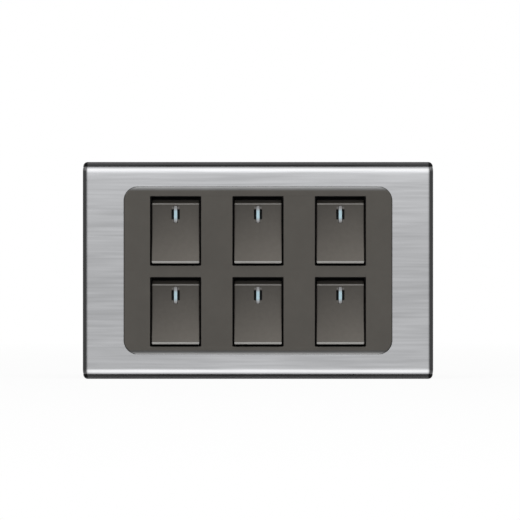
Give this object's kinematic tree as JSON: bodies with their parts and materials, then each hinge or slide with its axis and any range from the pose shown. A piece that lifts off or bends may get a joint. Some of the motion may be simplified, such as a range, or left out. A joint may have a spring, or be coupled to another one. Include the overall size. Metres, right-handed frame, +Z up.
{
  "type": "six-gang rocker switch plate",
  "caption": "Landscape wall plate with a brushed metal face and a dark insert of rocker switches, each a snap-in module with its own contacts and terminals.",
  "frame": {"origin": "middle of the plate, midway between the two fixing slots, on the wall plane", "axes": "+X to the right along the plate, +Z up, +Y into the wall, so the rockers face -Y"},
  "size_m": [0.12, 0.0255, 0.0746],
  "materials": {
    "brushed_metal": "fine horizontal brush lines",
    "black_plastic": "satin black",
    "insert_plastic": "fine matt warm dark grey",
    "rocker_plastic": "fine satin warm dark grey",
    "lens_plastic": "milky pale blue",
    "housing_plastic": "moulded dark grey",
    "plunger_plastic": "natural acetal",
    "spring_steel": "bright drawn wire",
    "arm_copper": "stamped copper alloy",
    "contact_silver": "silver alloy",
    "terminal_brass": "stamped brass"
  },
  "bodies": {
    "plate": {"face_sheet": "brushed_metal", "cover_carrier": "black_plastic", "grid_insert": "insert_plastic", "mounting_frame": "black_plastic", "fixed_contacts": "contact_silver", "switch_housing_1": "housing_plastic", "switch_housing_2": "housing_plastic", "switch_housing_3": "housing_plastic", "switch_housing_4": "housing_plastic", "switch_housing_5": "housing_plastic", "switch_housing_6": "housing_plastic", "load_terminal_1": "terminal_brass", "load_terminal_2": "terminal_brass", "load_terminal_3": "terminal_brass", "load_terminal_4": "terminal_brass", "load_terminal_5": "terminal_brass", "load_terminal_6": "terminal_brass", "common_terminal_1": "terminal_brass", "common_terminal_2": "terminal_brass", "common_terminal_3": "terminal_brass", "common_terminal_4": "terminal_brass", "common_terminal_5": "terminal_brass", "common_terminal_6": "terminal_brass"},
    "rocker_1": {"rocker_1": "rocker_plastic", "lens_1": "lens_plastic", "spring_1": "spring_steel"},
    "plunger_1": {"plunger_1": "plunger_plastic"},
    "arm_1": {"contact_arm_1": "arm_copper", "moving_contact_1": "contact_silver"},
    "rocker_2": {"rocker_2": "rocker_plastic", "lens_2": "lens_plastic", "spring_2": "spring_steel"},
    "plunger_2": {"plunger_2": "plunger_plastic"},
    "arm_2": {"contact_arm_2": "arm_copper", "moving_contact_2": "contact_silver"},
    "rocker_3": {"rocker_3": "rocker_plastic", "lens_3": "lens_plastic", "spring_3": "spring_steel"},
    "plunger_3": {"plunger_3": "plunger_plastic"},
    "arm_3": {"contact_arm_3": "arm_copper", "moving_contact_3": "contact_silver"},
    "rocker_4": {"rocker_4": "rocker_plastic", "lens_4": "lens_plastic", "spring_4": "spring_steel"},
    "plunger_4": {"plunger_4": "plunger_plastic"},
    "arm_4": {"contact_arm_4": "arm_copper", "moving_contact_4": "contact_silver"},
    "rocker_5": {"rocker_5": "rocker_plastic", "lens_5": "lens_plastic", "spring_5": "spring_steel"},
    "plunger_5": {"plunger_5": "plunger_plastic"},
    "arm_5": {"contact_arm_5": "arm_copper", "moving_contact_5": "contact_silver"},
    "rocker_6": {"rocker_6": "rocker_plastic", "lens_6": "lens_plastic", "spring_6": "spring_steel"},
    "plunger_6": {"plunger_6": "plunger_plastic"},
    "arm_6": {"contact_arm_6": "arm_copper", "moving_contact_6": "contact_silver"}
  },
  "joints": [
    {"name": "rocker_tilt_1", "type": "hinge", "parent": "plate", "child": "rocker_1", "pos_m": [-0.0282, -0.006, 0.0135], "axis": [1, 0, 0], "range_deg": [0, 9]},
    {"name": "arm_tilt_1", "type": "hinge", "parent": "plate", "child": "arm_1", "pos_m": [-0.0282, 0.0036, 0.0135], "axis": [1, 0, 0], "range_deg": [-14.4, 0]},
    {"name": "plunger_slide_1", "type": "slide", "parent": "rocker_1", "child": "plunger_1", "axis": [0, -0.9969, 0.0785], "range_m": [0, 0.0006], "stiffness_N_per_m": 300, "deforming": ["spring_1"]},
    {"name": "rocker_tilt_2", "type": "hinge", "parent": "plate", "child": "rocker_2", "pos_m": [0, -0.006, 0.0135], "axis": [1, 0, 0], "range_deg": [0, 9]},
    {"name": "arm_tilt_2", "type": "hinge", "parent": "plate", "child": "arm_2", "pos_m": [0, 0.0036, 0.0135], "axis": [1, 0, 0], "range_deg": [-14.4, 0]},
    {"name": "plunger_slide_2", "type": "slide", "parent": "rocker_2", "child": "plunger_2", "axis": [0, -0.9969, 0.0785], "range_m": [0, 0.0006], "stiffness_N_per_m": 300, "deforming": ["spring_2"]},
    {"name": "rocker_tilt_3", "type": "hinge", "parent": "plate", "child": "rocker_3", "pos_m": [0.0282, -0.006, 0.0135], "axis": [1, 0, 0], "range_deg": [0, 9]},
    {"name": "arm_tilt_3", "type": "hinge", "parent": "plate", "child": "arm_3", "pos_m": [0.0282, 0.0036, 0.0135], "axis": [1, 0, 0], "range_deg": [-14.4, 0]},
    {"name": "plunger_slide_3", "type": "slide", "parent": "rocker_3", "child": "plunger_3", "axis": [0, -0.9969, 0.0785], "range_m": [0, 0.0006], "stiffness_N_per_m": 300, "deforming": ["spring_3"]},
    {"name": "rocker_tilt_4", "type": "hinge", "parent": "plate", "child": "rocker_4", "pos_m": [-0.0282, -0.006, -0.0142], "axis": [1, 0, 0], "range_deg": [0, 9]},
    {"name": "arm_tilt_4", "type": "hinge", "parent": "plate", "child": "arm_4", "pos_m": [-0.0282, 0.0036, -0.0142], "axis": [1, 0, 0], "range_deg": [-14.4, 0]},
    {"name": "plunger_slide_4", "type": "slide", "parent": "rocker_4", "child": "plunger_4", "axis": [0, -0.9969, 0.0785], "range_m": [0, 0.0006], "stiffness_N_per_m": 300, "deforming": ["spring_4"]},
    {"name": "rocker_tilt_5", "type": "hinge", "parent": "plate", "child": "rocker_5", "pos_m": [0, -0.006, -0.0142], "axis": [1, 0, 0], "range_deg": [0, 9]},
    {"name": "arm_tilt_5", "type": "hinge", "parent": "plate", "child": "arm_5", "pos_m": [0, 0.0036, -0.0142], "axis": [1, 0, 0], "range_deg": [-14.4, 0]},
    {"name": "plunger_slide_5", "type": "slide", "parent": "rocker_5", "child": "plunger_5", "axis": [0, -0.9969, 0.0785], "range_m": [0, 0.0006], "stiffness_N_per_m": 300, "deforming": ["spring_5"]},
    {"name": "rocker_tilt_6", "type": "hinge", "parent": "plate", "child": "rocker_6", "pos_m": [0.0282, -0.006, -0.0142], "axis": [1, 0, 0], "range_deg": [0, 9]},
    {"name": "arm_tilt_6", "type": "hinge", "parent": "plate", "child": "arm_6", "pos_m": [0.0282, 0.0036, -0.0142], "axis": [1, 0, 0], "range_deg": [-14.4, 0]},
    {"name": "plunger_slide_6", "type": "slide", "parent": "rocker_6", "child": "plunger_6", "axis": [0, -0.9969, 0.0785], "range_m": [0, 0.0006], "stiffness_N_per_m": 300, "deforming": ["spring_6"]}
  ],
  "couplings": [
    {"joint": "arm_tilt_1", "follows": "rocker_tilt_1", "ratio": -1.6},
    {"joint": "arm_tilt_2", "follows": "rocker_tilt_2", "ratio": -1.6},
    {"joint": "arm_tilt_3", "follows": "rocker_tilt_3", "ratio": -1.6},
    {"joint": "arm_tilt_4", "follows": "rocker_tilt_4", "ratio": -1.6},
    {"joint": "arm_tilt_5", "follows": "rocker_tilt_5", "ratio": -1.6},
    {"joint": "arm_tilt_6", "follows": "rocker_tilt_6", "ratio": -1.6}
  ]
}
